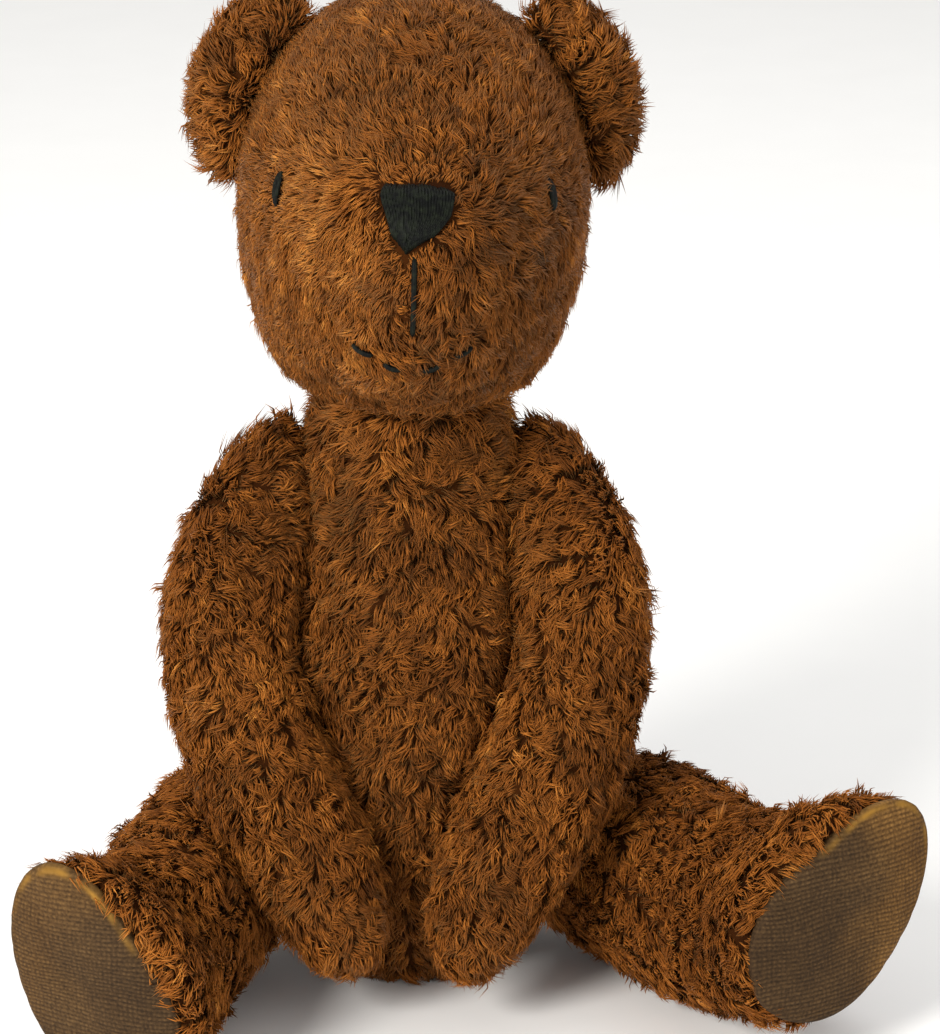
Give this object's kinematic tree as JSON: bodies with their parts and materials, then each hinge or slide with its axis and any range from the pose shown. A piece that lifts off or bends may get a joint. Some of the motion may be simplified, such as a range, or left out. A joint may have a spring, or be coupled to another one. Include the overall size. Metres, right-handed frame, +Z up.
{
  "type": "jointed teddy bear",
  "caption": "Sitting plush teddy bear with a turning head, arms and legs on pinned board joints, knitted soles and an embroidered face.",
  "frame": {"origin": "middle of the flat seat, on the surface the bear sits on", "axes": "+Z up, the bear faces -Y, its left side is +X"},
  "size_m": [0.2105, 0.1357, 0.239],
  "materials": {
    "fur": "short curly brown cotton plush",
    "sole_cloth": "ribbed olive brown knit",
    "black_thread": "black embroidery cotton",
    "brown_thread": "brown sewing cotton",
    "cotton_thread": "undyed linen thread",
    "wadding": "loose cotton wadding",
    "hardboard": "pressed fibre board",
    "steel": "zinc plated"
  },
  "bodies": {
    "torso": {"torso_skin": "fur", "torso_stuffing": "wadding", "back_closing_stitches": "brown_thread", "torso_neck_board": "hardboard", "torso_neck_washer": "steel", "torso_shoulder_board_left": "hardboard", "torso_shoulder_washer_left": "steel", "torso_shoulder_board_right": "hardboard", "torso_shoulder_washer_right": "steel", "torso_hip_board_left": "hardboard", "torso_hip_washer_left": "steel", "torso_hip_board_right": "hardboard", "torso_hip_washer_right": "steel"},
    "head": {"head_skin": "fur", "head_stuffing": "wadding", "ear_left": "fur", "ear_right": "fur", "nose": "black_thread", "eye_left": "black_thread", "eye_right": "black_thread", "mouth_stitches": "black_thread", "neck_gather_thread": "cotton_thread", "head_board": "hardboard", "head_washer": "steel", "neck_pin": "steel"},
    "arm_left": {"arm_skin_left": "fur", "arm_stuffing_left": "wadding", "arm_board_left": "hardboard", "arm_washer_left": "steel", "shoulder_pin_left": "steel"},
    "arm_right": {"arm_skin_right": "fur", "arm_stuffing_right": "wadding", "arm_board_right": "hardboard", "arm_washer_right": "steel", "shoulder_pin_right": "steel"},
    "leg_left": {"leg_skin_left": "fur", "leg_stuffing_left": "wadding", "sole_pad_left": "sole_cloth", "leg_board_left": "hardboard", "leg_washer_left": "steel", "hip_pin_left": "steel"},
    "leg_right": {"leg_skin_right": "fur", "leg_stuffing_right": "wadding", "sole_pad_right": "sole_cloth", "leg_board_right": "hardboard", "leg_washer_right": "steel", "hip_pin_right": "steel"}
  },
  "joints": [
    {"name": "neck_turn", "type": "hinge", "parent": "torso", "child": "head", "pos_m": [0, 0, 0.146], "axis": [0.0262, 0.0005, 0.9997], "continuous": true},
    {"name": "shoulder_left", "type": "hinge", "parent": "torso", "child": "arm_left", "pos_m": [0.024, -0.003, 0.116], "axis": [-0.9897, 0.1391, 0.0349], "range_deg": [0, 75]},
    {"name": "shoulder_right", "type": "hinge", "parent": "torso", "child": "arm_right", "pos_m": [-0.024, -0.003, 0.116], "axis": [-0.9897, -0.1391, -0.0349], "range_deg": [0, 75]},
    {"name": "hip_left", "type": "hinge", "parent": "torso", "child": "leg_left", "pos_m": [0.029, -0.005, 0.033], "axis": [-0.8638, -0.2974, 0.4067], "range_deg": [-98, 0]},
    {"name": "hip_right", "type": "hinge", "parent": "torso", "child": "leg_right", "pos_m": [-0.029, -0.005, 0.033], "axis": [-0.9872, 0.0777, -0.1392], "range_deg": [-86, 0]}
  ]
}
